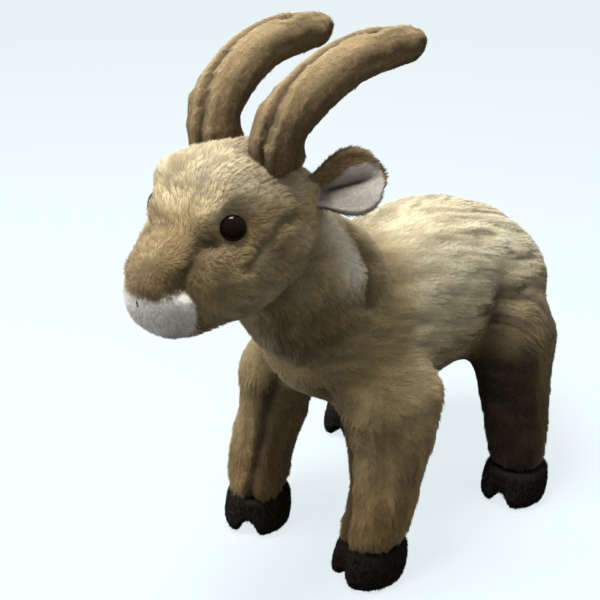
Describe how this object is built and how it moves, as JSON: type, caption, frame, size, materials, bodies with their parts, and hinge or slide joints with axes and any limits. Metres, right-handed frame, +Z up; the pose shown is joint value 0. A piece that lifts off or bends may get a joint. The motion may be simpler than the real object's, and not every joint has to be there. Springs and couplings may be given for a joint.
{
  "type": "plush goat",
  "caption": "Standing soft-toy goat with long swept-back horns, upright ears, a pale muzzle, dark cloven hooves and sprung, bendable head, legs, ears, horns and tail.",
  "frame": {"origin": "on the floor under the middle of the toy's bounding box", "axes": "+Z up, nose toward -Y, the toy's left side toward +X"},
  "size_m": [0.1622, 0.3284, 0.2972],
  "materials": {
    "tan_plush": "matte",
    "brown_plush": "matte",
    "white_plush": "matte",
    "dark_plush": "matte",
    "stuffing": "matte",
    "eye": "gloss",
    "washer": "satin",
    "thread": "matte"
  },
  "bodies": {
    "trunk": {"trunk_left": "tan_plush", "trunk_right": "tan_plush", "belly_panel": "tan_plush", "trunk_stuffing": "stuffing"},
    "head": {"neck_left": "tan_plush", "neck_right": "tan_plush", "neck_stuffing": "stuffing", "cheek_left": "tan_plush", "cheek_right": "tan_plush", "forehead_gusset": "tan_plush", "throat_panel": "tan_plush", "muzzle_panel": "white_plush", "head_stuffing": "stuffing", "nose_stitch": "thread", "eye_left": "eye", "eye_right": "eye", "eye_washer_left": "washer", "eye_washer_right": "washer"},
    "horn_left": {"horn_left_outer": "brown_plush", "horn_left_inner": "brown_plush", "horn_left_stuffing": "stuffing"},
    "horn_right": {"horn_right_outer": "brown_plush", "horn_right_inner": "brown_plush", "horn_right_stuffing": "stuffing"},
    "ear_left": {"ear_left_back": "brown_plush", "ear_left_lining": "white_plush"},
    "ear_right": {"ear_right_back": "brown_plush", "ear_right_lining": "white_plush"},
    "leg_front_left": {"front_left_outer": "tan_plush", "front_left_inner": "tan_plush", "front_left_stuffing": "stuffing", "front_left_hoof": "dark_plush"},
    "leg_front_right": {"front_right_outer": "tan_plush", "front_right_inner": "tan_plush", "front_right_stuffing": "stuffing", "front_right_hoof": "dark_plush"},
    "leg_hind_left": {"hind_left_outer": "tan_plush", "hind_left_inner": "tan_plush", "hind_left_stuffing": "stuffing", "hind_left_hoof": "dark_plush"},
    "leg_hind_right": {"hind_right_outer": "tan_plush", "hind_right_inner": "tan_plush", "hind_right_stuffing": "stuffing", "hind_right_hoof": "dark_plush"},
    "tail": {"tail_top": "tan_plush", "tail_under": "tan_plush"}
  },
  "joints": [
    {"name": "head_nod", "type": "hinge", "parent": "trunk", "child": "head", "pos_m": [0, -0.04272, 0.162], "axis": [1, 0, 0], "range_deg": [-12, 12], "stiffness_Nm_per_rad": 2},
    {"name": "front_leg_swing_left", "type": "hinge", "parent": "trunk", "child": "leg_front_left", "pos_m": [0.0386, -0.02372, 0.097], "axis": [1, 0, 0], "range_deg": [-18, 18], "stiffness_Nm_per_rad": 1.5},
    {"name": "hind_leg_swing_left", "type": "hinge", "parent": "trunk", "child": "leg_hind_left", "pos_m": [0.048, 0.09028, 0.097], "axis": [1, 0, 0], "range_deg": [-16, 16], "stiffness_Nm_per_rad": 1.5},
    {"name": "horn_flex_left", "type": "hinge", "parent": "head", "child": "horn_left", "pos_m": [0.017, -0.09072, 0.244], "axis": [1, 0, 0], "range_deg": [-10, 10], "stiffness_Nm_per_rad": 0.3},
    {"name": "front_leg_swing_right", "type": "hinge", "parent": "trunk", "child": "leg_front_right", "pos_m": [-0.0386, -0.02372, 0.097], "axis": [1, 0, 0], "range_deg": [-18, 18], "stiffness_Nm_per_rad": 1.5},
    {"name": "hind_leg_swing_right", "type": "hinge", "parent": "trunk", "child": "leg_hind_right", "pos_m": [-0.048, 0.09028, 0.097], "axis": [1, 0, 0], "range_deg": [-16, 16], "stiffness_Nm_per_rad": 1.5},
    {"name": "horn_flex_right", "type": "hinge", "parent": "head", "child": "horn_right", "pos_m": [-0.017, -0.09072, 0.244], "axis": [1, 0, 0], "range_deg": [-10, 10], "stiffness_Nm_per_rad": 0.3},
    {"name": "ear_fold_left", "type": "hinge", "parent": "head", "child": "ear_left", "pos_m": [0.0285, -0.07472, 0.23], "axis": [0.4035, -0.1002, -0.9095], "range_deg": [-22, 22], "stiffness_Nm_per_rad": 0.01},
    {"name": "ear_fold_right", "type": "hinge", "parent": "head", "child": "ear_right", "pos_m": [-0.0285, -0.07472, 0.23], "axis": [0.4035, 0.1002, 0.9095], "range_deg": [-22, 22], "stiffness_Nm_per_rad": 0.01},
    {"name": "tail_lift", "type": "hinge", "parent": "trunk", "child": "tail", "pos_m": [0, 0.14028, 0.145], "axis": [1, 0, 0], "range_deg": [-3, 45], "stiffness_Nm_per_rad": 0.01}
  ]
}
